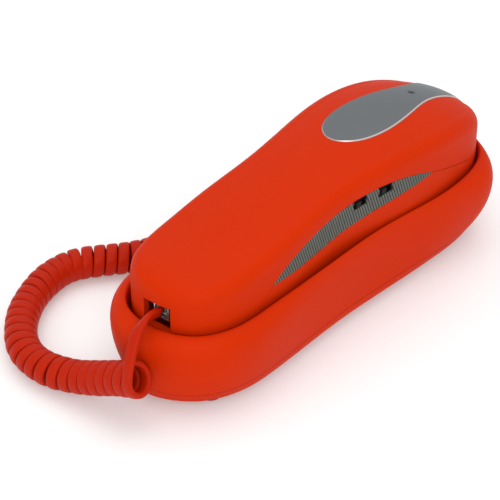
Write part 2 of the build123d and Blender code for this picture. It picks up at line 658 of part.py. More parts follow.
with BuildPart() as slide_switch_bodies:
    for y in SWITCH_YS:
        front = side_at(y) - HANDSET_WALL - 1.1
        add(block((front - 6, front), (y - 5.2, y + 5.2), (SWITCH_Z - 3.2, SWITCH_Z + 3.2)))
        add(
            block((front - 3.2, front + 1), (y - 3.2, y + 3.2), (SWITCH_Z - 1.45, SWITCH_Z + 1.45)),
            mode=Mode.SUBTRACT,
        )
finish(slide_switch_bodies.part, "slide_switch_bodies")

for y, name in zip(SWITCH_YS, SWITCH_NAMES):
    start = y - SWITCH_TRAVEL / 2
    outer = side_at(y) + 0.3
    inner = side_at(y) - HANDSET_WALL - 3.8
    with BuildPart() as knob:
        add(block((inner, outer), (start - 1.5, start + 1.5), (SWITCH_Z - 1.3, SWITCH_Z + 1.3)))
        fillet(knob.edges().filter_by(Axis.Z).group_by(Axis.X)[-1], 0.4)
    finish(knob.part, name)

# ---- Keys ------------------------------------------------------------------------------------
def key_body(x, y, size):
    """One key cap with the flange that keeps it in the keypad face."""
    low = KEYPAD_FACE_Z - KEY_PROUD
    flange = KEYPAD_FACE_Z + KEYPAD_THICK + 0.1
    with BuildPart() as key:
        with BuildSketch(Plane.XY.offset(low)):
            with Locations((x, y)):
                RectangleRounded(size[0], size[1], 1.6)
        extrude(amount=flange - low)
        fillet(key.edges().group_by(Axis.Z)[0], 0.6)
        with BuildSketch(Plane.XY.offset(flange)):
            with Locations((x, y)):
                RectangleRounded(size[0] + 1.4, size[1] + 1.4, 1.8)
        extrude(amount=1.0)
    return key.part


for x, y, name in key_places:
    finish(key_body(x, y, KEY_SIZE), name)
for x, name in function_places:
    finish(key_body(x, FUNCTION_KEY_Y, FUNCTION_KEY_SIZE), name)

# ---- Cord ------------------------------------------------------------------------------------
with BuildPart() as handset_cord_plug:
    add(block((SOCKET_X - 3.8, SOCKET_X + 3.8), (-88.6, -76.7), (SOCKET_Z - 3.1, SOCKET_Z + 3.1)))
    with BuildSketch(Plane.XZ.offset(88.6)):
        with Locations((SOCKET_X, SOCKET_Z + 0.4)):
            RectangleRounded(4.6, 2.6, 1.0)
    extrude(amount=2.6)
finish(handset_cord_plug.part, "handset_cord_plug")

with BuildPart() as base_cord_plug:
    with Locations((-28.0, BASE_SOCKET_Y, BASE_SOCKET_Z)):
        Box(14.0, 7.6, 6.2)
finish(base_cord_plug.part, "base_cord_plug")

finish(bent_tube(HANDSET_LEAD, LEAD_DIAMETER), "handset_lead")
finish(bent_tube(COIL_LINE, COIL_DIAMETER), "cord_coil")
finish(bent_tube(BASE_LEAD, LEAD_DIAMETER), "base_lead")
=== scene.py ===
"""Looks of the slimline wall telephone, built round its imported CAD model. Metres, in the CAD's own frame."""

import json
import math

import bmesh
import bpy
from mathutils import Matrix, Vector
from mathutils.bvhtree import BVHTree


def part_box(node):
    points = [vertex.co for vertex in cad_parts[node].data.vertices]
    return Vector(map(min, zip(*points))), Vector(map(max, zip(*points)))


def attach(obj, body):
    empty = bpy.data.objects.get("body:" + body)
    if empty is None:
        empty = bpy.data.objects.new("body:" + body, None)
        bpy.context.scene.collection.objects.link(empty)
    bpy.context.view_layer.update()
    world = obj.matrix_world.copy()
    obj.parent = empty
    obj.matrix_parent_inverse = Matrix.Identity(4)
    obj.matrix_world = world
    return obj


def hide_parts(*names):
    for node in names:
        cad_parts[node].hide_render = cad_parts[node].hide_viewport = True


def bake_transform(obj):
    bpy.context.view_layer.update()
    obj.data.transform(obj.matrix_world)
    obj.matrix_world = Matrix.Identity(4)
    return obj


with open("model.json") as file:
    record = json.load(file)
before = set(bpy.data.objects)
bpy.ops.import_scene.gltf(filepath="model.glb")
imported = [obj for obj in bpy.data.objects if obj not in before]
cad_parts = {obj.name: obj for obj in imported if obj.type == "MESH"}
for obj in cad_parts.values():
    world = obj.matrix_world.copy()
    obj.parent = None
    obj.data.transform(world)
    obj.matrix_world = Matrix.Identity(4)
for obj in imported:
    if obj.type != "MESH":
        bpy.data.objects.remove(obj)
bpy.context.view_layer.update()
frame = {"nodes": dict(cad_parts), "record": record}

MM = 0.001
NODES = frame["nodes"]
# The routes below are measured from the middle of the grip, as the CAD's are before it places its pieces.
ORIGIN_SHIFT = Vector((0, 2.0, 0))

# ---- Camera --------------------------------------------------------------------------------
VIEW_AZIMUTH = math.radians(38.5)
VIEW_ELEVATION = math.radians(34.5)
VIEW_DISTANCE = 0.75
VIEW_TARGET = Vector((-0.002, -0.0015, 0.0195))
AIM_LEFT = 0.020
LENS = 135.0


def make_camera():
    """The camera looks down on the phone from the mouth end's right side."""
    away = Vector(
        (
            math.sin(VIEW_AZIMUTH) * math.cos(VIEW_ELEVATION),
            -math.cos(VIEW_AZIMUTH) * math.cos(VIEW_ELEVATION),
            math.sin(VIEW_ELEVATION),
        )
    )
    right = Vector((math.cos(VIEW_AZIMUTH), math.sin(VIEW_AZIMUTH), 0))
    data = bpy.data.cameras.new("camera")
    data.lens = LENS
    data.sensor_width = 36.0
    camera = bpy.data.objects.new("camera", data)
    bpy.context.scene.collection.objects.link(camera)
    camera.location = VIEW_TARGET + away * VIEW_DISTANCE
    aim = VIEW_TARGET - right * AIM_LEFT
    camera.rotation_euler = (aim - camera.location).to_track_quat("-Z", "Y").to_euler()
    bpy.context.scene.camera = camera


make_camera()


# ---- Mesh helpers --------------------------------------------------------------------------
RAY_SIDE = 0.06
RAY_TOP = 0.1
RAY_REACH = 0.06


def placed(point):
    """A route's point, in metres and in the frame."""
    return (Vector(point) + ORIGIN_SHIFT) * MM


def mesh_object(name, points, faces, smooth=True):
    """A new mesh object from points and faces, with its normals turned outwards."""
    mesh = bpy.data.meshes.new(name)
    mesh.from_pydata([tuple(p) for p in points], [], faces)
    work = bmesh.new()
    work.from_mesh(mesh)
    bmesh.ops.remove_doubles(work, verts=work.verts, dist=1e-6)
    bmesh.ops.recalc_face_normals(work, faces=work.faces)
    work.to_mesh(mesh)
    work.free()
    for polygon in mesh.polygons:
        polygon.use_smooth = smooth
    thing = bpy.data.objects.new(name, mesh)
    bpy.context.scene.collection.objects.link(thing)
    return thing


def crease(thing, degrees):
    """Shade a piece smoothly, but for edges sharper than the angle."""
    limit = math.radians(degrees)
    work = bmesh.new()
    work.from_mesh(thing.data)
    for edge in work.edges:
        edge.smooth = len(edge.link_faces) == 2 and edge.calc_face_angle(0) < limit
    work.to_mesh(thing.data)
    work.free()


def paint(thing, *materials):
    """Give a piece its materials."""
    thing.data.materials.clear()
    for material in materials:
        thing.data.materials.append(material)


def surface_of(*names):
    """A search tree over the faces of some CAD nodes."""
    points, faces = [], []
    for name in names:
        data = NODES[name].data
        first = len(points)
        points.extend(v.co.copy() for v in data.vertices)
        faces.extend([first + i for i in p.vertices] for p in data.polygons)
    return BVHTree.FromPolygons(points, faces)


def side_hit(tree, y, z):
    """Where a ray from the left at (y, z) first meets a surface, or None."""
    return tree.ray_cast(Vector((-RAY_SIDE, y, z)), Vector((1, 0, 0)), RAY_REACH)[0]


def top_hit(tree, x, y):
    """Where a ray from above at (x, y) first meets a surface, or None."""
    return tree.ray_cast(Vector((x, y, RAY_TOP)), Vector((0, 0, -1)), RAY_REACH)[0]


def nurbs_points(points, resolution):
    """Points along the smooth line that has these control points."""
    data = bpy.data.curves.new("route", "CURVE")
    data.dimensions = "3D"
    spline = data.splines.new("NURBS")
    spline.points.add(len(points) - 1)
    for place, point in zip(spline.points, points):
        place.co = (*point, 1.0)
    spline.order_u = 3
    spline.use_endpoint_u = True
    spline.resolution_u = resolution
    route = bpy.data.objects.new("route", data)
    mesh = bpy.data.meshes.new_from_object(route)
    line = [v.co.copy() for v in mesh.vertices]
    bpy.data.objects.remove(route)
    bpy.data.curves.remove(data)
    bpy.data.meshes.remove(mesh)
    return line


def line_length(line):
    """Length of a line of points."""
    return sum((b - a).length for a, b in zip(line, line[1:]))


def point_along(line, distance):
    """The point at a distance along a line, and the line's direction there."""
    for a, b in zip(line, line[1:]):
        step = (b - a).length
        if distance <= step:
            return a.lerp(b, distance / step), (b - a).normalized()
        distance -= step
    return line[-1].copy(), (line[-1] - line[-2]).normalized()


# ---- Cord ----------------------------------------------------------------------------------
HANDSET_LEAD = [
    (1.5, -89.0, 39.2), (1.4, -93.0, 40.0), (1.6, -97.0, 40.2), (2.6, -102.4, 38.2), (4.2, -107.0, 33.8),
    (6.0, -111.2, 28.8), (7.4, -113.6, 25.0),
]
COIL_LINE = [
    (10.6, -108.0, 23.6), (-1.0, -108.2, 18.6), (-12, -109, 13.2), (-24, -110.6, 8.8), (-38, -112.8, 7.1),
    (-52.6, -109.6, 7.1), (-65.4, -98.2, 7.1), (-73.6, -85, 7.1), (-78.4, -70.4, 7.1), (-78, -57, 7.1),
    (-69.6, -45.8, 7.1), (-60.6, -35, 7.1), (-55.4, -20, 7.1), (-55, -2, 7.1), (-55.8, 15, 7.1),
    (-55.4, 28, 7.1),
]
BASE_LEAD = [
    (-51.2, 29.2, 1.9), (-48.2, 31.8, 2.8), (-47.4, 36.6, 5.2), (-47.6, 41.8, 8.8), (-46.2, 46.2, 12.0),
    (-41.6, 48.0, 13.4), (-35.0, 48.0, 13.4),
]
CORD_WIDTH = 4.6 * MM
CORD_THICKNESS = 2.5 * MM
COIL_RADIUS = 5.5 * MM
COIL_PITCH = 5.05 * MM
POINTS_PER_TURN = 14
# The first turns are wider, by this share of the radius, and the excess fades over this many turns.
WIDE_FIRST_TURNS = 0.13
WIDE_TURNS_FADE = 2
TURN_UNEVENNESS = 0.025
TURN_SLACK = 0.5 * MM
FIRST_TURN_AT = 3.2 * MM
LAST_TURN_BEFORE_END = 1.5 * MM
CORD_RING = 18
CORD_SQUARENESS = 0.62


def coil_points():
    """Control points of the curly part, each with the direction of the flat cord's width."""
    axis = nurbs_points([placed(p) for p in COIL_LINE], 12)
    length = line_length(axis) - FIRST_TURN_AT - LAST_TURN_BEFORE_END
    turns = round(length / COIL_PITCH) + 0.25
    count = round(turns * POINTS_PER_TURN)
    points = []
    for index in range(count + 1):
        share = index / count
        slack = TURN_SLACK * math.sin(11 * math.pi * share) * math.sin(3 * math.pi * share)
        middle, along = point_along(axis, FIRST_TURN_AT + share * length + slack)
        side = along.cross(Vector((0, 0, 1))).normalized()
        over = side.cross(along)
        angle = 2 * math.pi * turns * share
        uneven = TURN_UNEVENNESS * math.sin(31.0 * share) ** 2
        wide = WIDE_FIRST_TURNS * math.exp(-share * turns / WIDE_TURNS_FADE)
        radius = COIL_RADIUS * (1 - uneven + wide)
        points.append((middle - radius * (math.cos(angle) * side + math.sin(angle) * over), along))
    return points, turns


def flat_cord(name, controls):
    """A flat cord along its control points, as a closed mesh, and its middle line."""
    middle = nurbs_points([p for p, w in controls], 5)
    edge = nurbs_points([p + w * MM for p, w in controls], 5)
    points, faces = [], []
    for index, centre in enumerate(middle):
        before = middle[max(index - 1, 0)]
        after = middle[min(index + 1, len(middle) - 1)]
        along = (after - before).normalized()
        wide = edge[index] - centre
        wide = (wide - along * wide.dot(along)).normalized()
        thin = along.cross(wide)
        for step in range(CORD_RING):
            angle = 2 * math.pi * step / CORD_RING
            c, s = math.cos(angle), math.sin(angle)
            reach_wide = 0.5 * CORD_WIDTH * math.copysign(abs(c) ** CORD_SQUARENESS, c)
            reach_thin = 0.5 * CORD_THICKNESS * math.copysign(abs(s) ** CORD_SQUARENESS, s)
            points.append(centre + wide * reach_wide + thin * reach_thin)
    for index in range(len(middle) - 1):
        for step in range(CORD_RING):
            a = index * CORD_RING + step
            b = index * CORD_RING + (step + 1) % CORD_RING
            faces.append((a, b, b + CORD_RING, a + CORD_RING))
    faces.append(tuple(range(CORD_RING)))
    faces.append(tuple(range((len(middle) - 1) * CORD_RING, len(middle) * CORD_RING)))
    return mesh_object(name, points, faces), middle


def make_cord():
    """The whole handset cord: a flat lead, the curly part and the lead into the base."""
    coil, turns = coil_points()
    lead_widths = [
        (-0.25, 0, -1), (-0.35, 0, -1), (-0.6, -0.1, -0.9), (-1, -0.15, -0.35), (-1, -0.1, -0.2),
        (-1, 0, -0.3), (-1, 0, -0.45),
    ]
    lead = [(placed(p), Vector(w).normalized()) for p, w in zip(HANDSET_LEAD, lead_widths)]
    base_widths = [
        (0, 1, 0), (0.2, 1, 0), (0.6, 0.6, 0), (0.7, 0.5, 0), (0.4, 0.8, 0), (0.1, 1, 0), (0, 1, 0)
    ]
    tail = [(placed(p), Vector(w).normalized()) for p, w in zip(BASE_LEAD, base_widths)]
    cord, middle = flat_cord("handset_cord", lead + coil + tail)
    length = line_length(middle)
    print("cord length", round(length, 3), "turns", turns)
    return cord, middle, length


cord, cord_middle, cord_length = make_cord()
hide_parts("handset_lead", "cord_coil", "base_lead")


# ---- Materials -----------------------------------------------------------------------------
BROAD_NOISE_SCALE = 45.0
GLOSS_SPREAD = 0.1


def surface_material(name, colour, roughness, metallic=0.0, grain=0.5, depth=0.01, tint=0.04, **sockets):
    """A procedural surface: fine moulded or painted grain, slight change of colour and of gloss."""
    material = bpy.data.materials.new(name)
    material.use_nodes = True
    tree = material.node_tree
    shader = tree.nodes["Principled BSDF"]
    shader.inputs["Metallic"].default_value = metallic
    for socket, value in sockets.items():
        shader.inputs[socket.replace("_", " ")].default_value = value
    place = tree.nodes.new("ShaderNodeTexCoord")
    fine = tree.nodes.new("ShaderNodeTexNoise")
    fine.inputs["Scale"].default_value = 1.0 / (grain * MM)
    fine.inputs["Detail"].default_value = 3.0
    broad = tree.nodes.new("ShaderNodeTexNoise")
    broad.inputs["Scale"].default_value = BROAD_NOISE_SCALE
    broad.inputs["Detail"].default_value = 4.0
    tree.links.new(place.outputs["Object"], fine.inputs["Vector"])
    tree.links.new(place.outputs["Object"], broad.inputs["Vector"])
    ramp = tree.nodes.new("ShaderNodeMix")
    ramp.data_type = "RGBA"
    ramp.inputs["A"].default_value = (*[c * (1 - tint) for c in colour], 1)
    ramp.inputs["B"].default_value = (*[min(1, c * (1 + tint)) for c in colour], 1)
    tree.links.new(broad.outputs["Fac"], ramp.inputs["Factor"])
    tree.links.new(ramp.outputs["Result"], shader.inputs["Base Color"])
    gloss = tree.nodes.new("ShaderNodeMapRange")
    gloss.inputs["To Min"].default_value = roughness * (1 - GLOSS_SPREAD)
    gloss.inputs["To Max"].default_value = min(1, roughness * (1 + GLOSS_SPREAD))
    tree.links.new(broad.outputs["Fac"], gloss.inputs["Value"])
    tree.links.new(gloss.outputs["Result"], shader.inputs["Roughness"])
    bump = tree.nodes.new("ShaderNodeBump")
    bump.inputs["Strength"].default_value = 1.0
    bump.inputs["Distance"].default_value = depth * MM
    tree.links.new(fine.outputs["Fac"], bump.inputs["Height"])
    tree.links.new(bump.outputs["Normal"], shader.inputs["Normal"])
    return material


MATERIALS = {
    "red_plastic": surface_material(
        "red plastic", (0.575, 0.025, 0.0), 0.5, grain=0.35, depth=0.006, Specular_IOR_Level=0.05
    ),
    "red_rubber": surface_material("red rubber", (0.26, 0.010, 0.004), 0.6, grain=0.5, depth=0.02),
    "grip_rubber": surface_material(
        "grip rubber", (0.135, 0.142, 0.125), 0.6, grain=0.25, depth=0.01, tint=0.1, Specular_IOR_Level=0.2
    ),
    "metallic_grey": surface_material(
        "metallic grey", (0.125, 0.137, 0.146), 0.42, 0.4, grain=0.12, depth=0.002
    ),
    "smoked_lens": surface_material(
        "smoked lens", (0.006, 0.006, 0.008), 0.25, grain=2.0, depth=0.0005, Specular_IOR_Level=0.2
    ),
    "black_plastic": surface_material(
        "black plastic", (0.006, 0.006, 0.006), 0.6, grain=0.4, depth=0.006, Specular_IOR_Level=0.2
    ),
    "knob_plastic": surface_material(
        "knob plastic", (0.006, 0.006, 0.006), 0.6, grain=0.4, depth=0.006, Specular_IOR_Level=0.15
    ),
    "key_plastic": surface_material("key plastic", (0.50, 0.50, 0.48), 0.42, grain=0.4, depth=0.005),
    "clear_plastic": surface_material(
        "clear plastic", (0.09, 0.075, 0.065), 0.14, grain=3.0, depth=0.001, Transmission_Weight=0.35
    ),
    "cord_vinyl": surface_material(
        "cord vinyl", (0.45, 0.014, 0.0), 0.45, grain=0.3, depth=0.004, Specular_IOR_Level=0.1
    ),
    "steel": surface_material("zinc plated steel", (0.6, 0.6, 0.58), 0.3, 1.0, grain=0.2, depth=0.004),
    "circuit_board": surface_material("circuit board", (0.02, 0.16, 0.06), 0.3, grain=1.0, depth=0.004),
    "gold_contact": surface_material("gold contact", (0.85, 0.60, 0.22), 0.22, 1.0, grain=0.3, depth=0.001),
    "black_rubber": surface_material("black rubber", (0.02, 0.02, 0.02), 0.65, grain=0.4, depth=0.01),
    "aluminium_can": surface_material("aluminium can", (0.7, 0.7, 0.7), 0.28, 1.0, grain=0.15, depth=0.003),
}
# Painted highlight: a bright pinkish colour for the ear panel's steep edge, standing in for light caught
# there.
PAINTED_EDGE_HIGHLIGHT = surface_material("painted edge highlight", (0.66, 0.56, 0.53), 0.32, 0.5, grain=0.5, depth=0.0005)
KEY_PRINT = surface_material("key print", (0.03, 0.03, 0.035), 0.5, grain=0.3, depth=0.001)


# The heights of the ribs' wave below which the colour is the grooves' painted shade, and above which it is the
# ridge's own colour.
GROOVE_WAVE = -0.75
RIDGE_WAVE = 0.15


def paint_groove_shade(material, pitch, lean, groove_shade):
    """Paint shade into the grooves between ribs that lean along y + lean z, by darkening the colour there."""
    tree = material.node_tree
    shader = tree.nodes["Principled BSDF"]
    colour = shader.inputs["Base Color"].links[0].from_socket
    place = tree.nodes.new("ShaderNodeTexCoord")
    parts = tree.nodes.new("ShaderNodeSeparateXYZ")
    tree.links.new(place.outputs["Object"], parts.inputs["Vector"])
    lean_z = tree.nodes.new("ShaderNodeMath")
    lean_z.operation = "MULTIPLY_ADD"
    lean_z.inputs[1].default_value = lean
    tree.links.new(parts.outputs["Z"], lean_z.inputs[0])
    tree.links.new(parts.outputs["Y"], lean_z.inputs[2])
    wave = tree.nodes.new("ShaderNodeMath")
    wave.operation = "MULTIPLY"
    wave.inputs[1].default_value = 2 * math.pi / pitch
    tree.links.new(lean_z.outputs["Value"], wave.inputs[0])
    ridge = tree.nodes.new("ShaderNodeMath")
    ridge.operation = "COSINE"
    tree.links.new(wave.outputs["Value"], ridge.inputs[0])
    blend = tree.nodes.new("ShaderNodeMapRange")
    blend.inputs["From Min"].default_value = GROOVE_WAVE
    blend.inputs["From Max"].default_value = RIDGE_WAVE
    tree.links.new(ridge.outputs["Value"], blend.inputs["Value"])
    mix = tree.nodes.new("ShaderNodeMix")
    mix.data_type = "RGBA"
    mix.inputs["A"].default_value = (*groove_shade, 1)
    tree.links.new(colour, mix.inputs["B"])
    tree.links.new(blend.outputs["Result"], mix.inputs["Factor"])
    tree.links.new(mix.outputs["Result"], shader.inputs["Base Color"])


RIB_PITCH = 1.35 * MM
RIB_LEAN = math.tan(math.radians(20))
# Painted shade: the grip's grooves are coloured darker than its ridges.
paint_groove_shade(MATERIALS["grip_rubber"], RIB_PITCH, RIB_LEAN, (0.045, 0.043, 0.037))

for subpart in frame["record"]["subparts"]:
    paint(NODES[subpart["node"]], MATERIALS[subpart["material_slot"]])

paint(cord, MATERIALS["cord_vinyl"])


def add_piece(thing, body, slot, *replaced, materials=None):
    """Hang a new piece on its body, paint it with its slot's material or the given materials, and hide the CAD
    nodes that it stands for.
    """
    paint(thing, *(materials or [MATERIALS[slot]]))
    if replaced:
        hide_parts(*replaced)
    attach(thing, body)


# ---- Turned and moulded small pieces -------------------------------------------------------
def turned(name, profile, place, axis=(0, 0, 1), segments=48):
    """A body of revolution from (radius, height) points about an axis."""
    turn = Vector((0, 0, 1)).rotation_difference(Vector(axis)).to_matrix()
    points, faces = [], []
    for radius, height in profile:
        for step in range(segments):
            angle = 2 * math.pi * step / segments
            local = Vector((radius * math.cos(angle), radius * math.sin(angle), height)) * MM
            points.append(Vector(place) + turn @ local)
    for ring in range(len(profile) - 1):
        for step in range(segments):
            a = ring * segments + step
            b = ring * segments + (step + 1) % segments
            faces.append((a, b, b + segments, a + segments))
    faces.append(tuple(range(segments)))
    faces.append(tuple(range((len(profile) - 1) * segments, len(profile) * segments)))
    piece = mesh_object(name, points, faces)
    crease(piece, 40)
    return piece


def joined(name, pieces):
    """Several mesh objects as one."""
    work = bmesh.new()
    for piece in pieces:
        work.from_mesh(piece.data)
    mesh = bpy.data.meshes.new(name)
    work.to_mesh(mesh)
    work.free()
    for piece in pieces:
        bpy.data.objects.remove(piece)
    whole = bpy.data.objects.new(name, mesh)
    bpy.context.scene.collection.objects.link(whole)
    return whole


def moulded_block(name, low, high, bevel, segments=3):
    """A block with rounded edges."""
    work = bmesh.new()
    bmesh.ops.create_cube(work, size=1.0)
    size = Vector(high) - Vector(low)
    middle = (Vector(high) + Vector(low)) / 2
    bmesh.ops.scale(work, vec=size, verts=work.verts)
    bmesh.ops.translate(work, vec=middle, verts=work.verts)
    bmesh.ops.bevel(work, geom=work.edges, offset=bevel, segments=segments, profile=0.5, affect="EDGES")
    mesh = bpy.data.meshes.new(name)
    work.to_mesh(mesh)
    work.free()
    for polygon in mesh.polygons:
        polygon.use_smooth = True
    piece = bpy.data.objects.new(name, mesh)
    bpy.context.scene.collection.objects.link(piece)
    crease(piece, 40)
    return piece


# ---- Side grips ----------------------------------------------------------------------------
RIB_DEPTH = 0.42 * MM
GRIP_STEP = 0.14 * MM
GRIP_COLUMNS = 24
GRIP_DEPTH = 0.9 * MM
GRIP_EDGE_RISE = 0.05 * MM
GRIP_CROWN = 0.2 * MM
# How much of the ribs' wave a rib's flank takes, and how quickly the ribs fade in from the leaf's edges.
RIB_FLANK = 0.7
RIB_END_SLOPE = 6
SCAN_STEP = 0.15 * MM
SWITCH_YS = [2.0 * MM, 16.0 * MM]
NOTCH_HALF = 3.9 * MM
NOTCH_LOW = 49.9 * MM
NOTCH_HIGH = 53.7 * MM
WELL_SUNK = 0.12 * MM
WELL_DEPTH = 2.9 * MM
WELL_GAP = 0.03 * MM
WELL_WALL = 0.25 * MM


def edge_of(hit, inside, outside):
    """Where a surface ends between a place that hits it and one that misses it."""
    for _ in range(12):
        middle = 0.5 * (inside + outside)
        if hit(middle):
            inside = middle
        else:
            outside = middle
    return inside


def grip_rows():
    """The leaf of the plain left grip, row by row: (y, lowest z, highest z)."""
    tree = surface_of("side_grip_left")
    low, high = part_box("side_grip_left")
    rows = []
    count = int((high.y - low.y) / GRIP_STEP)
    for index in range(1, count):
        y = low.y + index * GRIP_STEP

        def hit(z):
            return side_hit(tree, y, z) is not None

        steps = [low.z + SCAN_STEP * k for k in range(int((high.z - low.z) / SCAN_STEP) + 1)]
        hits = [z for z in steps if hit(z)]
        if hits:
            bottom = edge_of(hit, hits[0], hits[0] - SCAN_STEP)
            top = edge_of(hit, hits[-1], hits[-1] + SCAN_STEP)
            rows.append((y, bottom, top))
    return rows, tree


def leaf_at(rows, y):
    """Lowest and highest z of the leaf at y."""
    for (y0, low0, high0), (y1, low1, high1) in zip(rows, rows[1:]):
        if y0 <= y <= y1:
            share = (y - y0) / (y1 - y0)
            return low0 + share * (low1 - low0), high0 + share * (high1 - high0)
    nearest = min(rows, key=lambda row: abs(row[0] - y))
    return nearest[1], nearest[2]


def grip_slab(side, rows, tree, start, end, ceiling):
    """One closed stretch of a grip, whose ribs lean towards the mouth end at the top."""
    count = max(2, round((end - start) / GRIP_STEP))
    width = GRIP_COLUMNS + 1
    points, faces = [], []
    for row in range(count + 1):
        y = start + (end - start) * row / count
        bottom, top = leaf_at(rows, y)
        top = min(top, ceiling)
        for column in range(width):
            share = column / GRIP_COLUMNS
            z = bottom + (top - bottom) * share
            found = side_hit(tree, y, z)
            if found:
                reach = -found.x
            wave = math.cos(2 * math.pi * (y + RIB_LEAN * z) / RIB_PITCH)
            rib = min(1, max(0, (wave - GROOVE_WAVE) / RIB_FLANK))
            edge = min(1, RIB_END_SLOPE * min(share, 1 - share))
            rise = GRIP_EDGE_RISE - RIB_DEPTH * (1 - rib) * edge + GRIP_CROWN * edge
            points.append(Vector((side * (reach + rise), y, z)))
            points.append(Vector((side * (reach - GRIP_DEPTH), y, z)))
    for row in range(count):
        for column in range(GRIP_COLUMNS):
            a = 2 * (row * width + column)
            b, c, d = a + 2, a + 2 + 2 * width, a + 2 * width
            faces += [(a, b, c, d), (d + 1, c + 1, b + 1, a + 1)]
        for a in (2 * row * width, 2 * (row * width + GRIP_COLUMNS)):
            faces.append((a, a + 1, a + 1 + 2 * width, a + 2 * width))
    for row in (0, count):
        for column in range(GRIP_COLUMNS):
            a = 2 * (row * width + column)
            faces.append((a, a + 1, a + 3, a + 2))
    return mesh_object("grip_slab", points, faces)


def ribbed_grip(name, side, rows, tree, notched):
    """A ribbed grip, stretch by stretch where switch notches cut into its upper edge."""
    stretches = []
    start = rows[0][0]
    for middle in SWITCH_YS if notched else []:
        stretches.append((start, middle - NOTCH_HALF, 1.0))
        stretches.append((middle - NOTCH_HALF, middle + NOTCH_HALF, NOTCH_LOW))
        start = middle + NOTCH_HALF
    stretches.append((start, rows[-1][0], 1.0))
    grip = joined(name, [grip_slab(side, rows, tree, *stretch) for stretch in stretches])
    crease(grip, 50)
    return grip


def make_switch_wells(tree):
    """The black wells that the switches' knobs slide in."""
    wells = []
    for middle in SWITCH_YS:
        found = side_hit(tree, middle, 0.5 * (NOTCH_LOW + NOTCH_HIGH))
        outer = -found.x - WELL_SUNK
        inner = outer - WELL_DEPTH
        near, far = middle - NOTCH_HALF + WELL_GAP, middle + NOTCH_HALF - WELL_GAP
        low, high = NOTCH_LOW + WELL_GAP, NOTCH_HIGH - WELL_GAP
        wall = WELL_WALL
        for name, low_corner, high_corner in (
            ("floor", (inner, near, low), (outer, far, low + wall)),
            ("roof", (inner, near, high - wall), (outer, far, high)),
            ("near", (inner, near, low), (outer, near + wall, high)),
            ("far", (inner, far - wall, low), (outer, far, high)),
        ):
            wells.append(moulded_block("well_" + name, low_corner, high_corner, 0.05 * MM, 2))
    add_piece(joined("switch_wells", wells), "handset", "black_plastic")


leaf_rows, leaf_tree = grip_rows()
for side_name, side, notched in (("right", 1, True), ("left", -1, False)):
    grip = ribbed_grip("ribbed_grip_" + side_name, side, leaf_rows, leaf_tree, notched)
    add_piece(grip, "handset", "grip_rubber", "side_grip_" + side_name)
make_switch_wells(leaf_tree)

# ---- Ear inlay -----------------------------------------------------------------------------
INLAY_GROOVE = 0.20 * MM
INLAY_BEVEL = 0.42 * MM
INLAY_RISE = 0.42 * MM
INLAY_COLUMNS = 28
INLAY_TAPER_ROWS = 8
INLAY_END_Z = 48.3 * MM
INLAY_FIRST_ROWS = (0.25, 0.4, 0.6, 0.9, 1.3, 1.8, 2.4, 3.2, 4.2, 5.4)
INLAY_ROW_STEP = 1.3 * MM
INLAY_END_STEP = 0.3 * MM
INLAY_END_LENGTH = 6 * MM
INLAY_END_GAP = 0.4 * MM
INLAY_WIDEST = 20 * MM
INLAY_NARROWEST = 0.3 * MM
INLAY_EDGE_SUNK = 0.1 * MM
INLAY_HIGHLIGHT_START = 2 * MM
LENS_CLEARANCE = 2.4 * MM


def inlay_heights():
    """A function for the height of the handset's back at (x, y), bridging the indicator's hole."""
    tree = surface_of("ear_inlay", "handset_outer_shell")

    lens_low, lens_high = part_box("indicator_lens")
    lens = (lens_low + lens_high) / 2

    def plain(x, y):
        found = top_hit(tree, x, y)
        return found.z if found else None

    def height(x, y):
        if math.hypot(x - lens.x, y - lens.y) > LENS_CLEARANCE:
            return plain(x, y)
        wide = math.sqrt(LENS_CLEARANCE**2 - (y - lens.y) ** 2)
        return 0.5 * (plain(lens.x - wide, y) + plain(lens.x + wide, y))

    return height


def make_inlay():
    """The metallic teardrop panel, a little proud, with a steep edge that gets a painted highlight."""
    tree = surface_of("ear_inlay")
    low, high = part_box("ear_inlay")
    height = inlay_heights()

    def covered(x, y):
        return top_hit(tree, x, y) is not None

    ys = [low.y + d * MM for d in INLAY_FIRST_ROWS]
    while ys[-1] < high.y - INLAY_END_LENGTH:
        ys.append(ys[-1] + INLAY_ROW_STEP)
    while ys[-1] < high.y - INLAY_END_GAP:
        ys.append(ys[-1] + INLAY_END_STEP)
    rows = []
    for y in ys:
        centre = height(0, y)
        if centre is None or centre < INLAY_END_Z:
            break
        half = edge_of(lambda x: covered(x, y), 0.05 * MM, INLAY_WIDEST) - INLAY_GROOVE
        if half > INLAY_NARROWEST:
            rows.append((y, half))
    points, faces = [], []
    for row, (y, half) in enumerate(rows):
        bevel = min(INLAY_BEVEL, 0.4 * half)
        rise = INLAY_RISE * min(1, (len(rows) - 1 - row) / INLAY_TAPER_ROWS)
        xs = [-half, -half + bevel]
        inner = half - bevel
        xs += [-inner + 2 * inner * k / INLAY_COLUMNS for k in range(1, INLAY_COLUMNS)]
        xs += [inner, half]
        for column, x in enumerate(xs):
            at_edge = column in (0, len(xs) - 1) or row in (0, len(rows) - 1)
            z = height(x, y)
            z = height(0, y) if z is None else z
            points.append(Vector((x, y, z - INLAY_EDGE_SUNK if at_edge else z + rise)))
    width = INLAY_COLUMNS + 3
    for row in range(len(rows) - 1):
        for column in range(width - 1):
            a = row * width + column
            faces.append((a, a + 1, a + 1 + width, a + width))
    return mesh_object("ear_panel", points, faces)


panel = make_inlay()
for polygon in panel.data.polygons:
    if polygon.normal.z < 0:
        polygon.flip()
crease(panel, 35)
add_piece(panel, "handset", "metallic_grey", materials=[MATERIALS["metallic_grey"], PAINTED_EDGE_HIGHLIGHT])
# The panel's steep side faces, and its steep faces near the mouth end, get the painted highlight colour.
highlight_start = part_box("ear_inlay")[0].y + INLAY_HIGHLIGHT_START
for polygon in panel.data.polygons:
    at_edge = abs(polygon.normal.x) > 0.45 or polygon.center.y < highlight_start
    polygon.material_index = 1 if at_edge and polygon.normal.z < 0.85 else 0

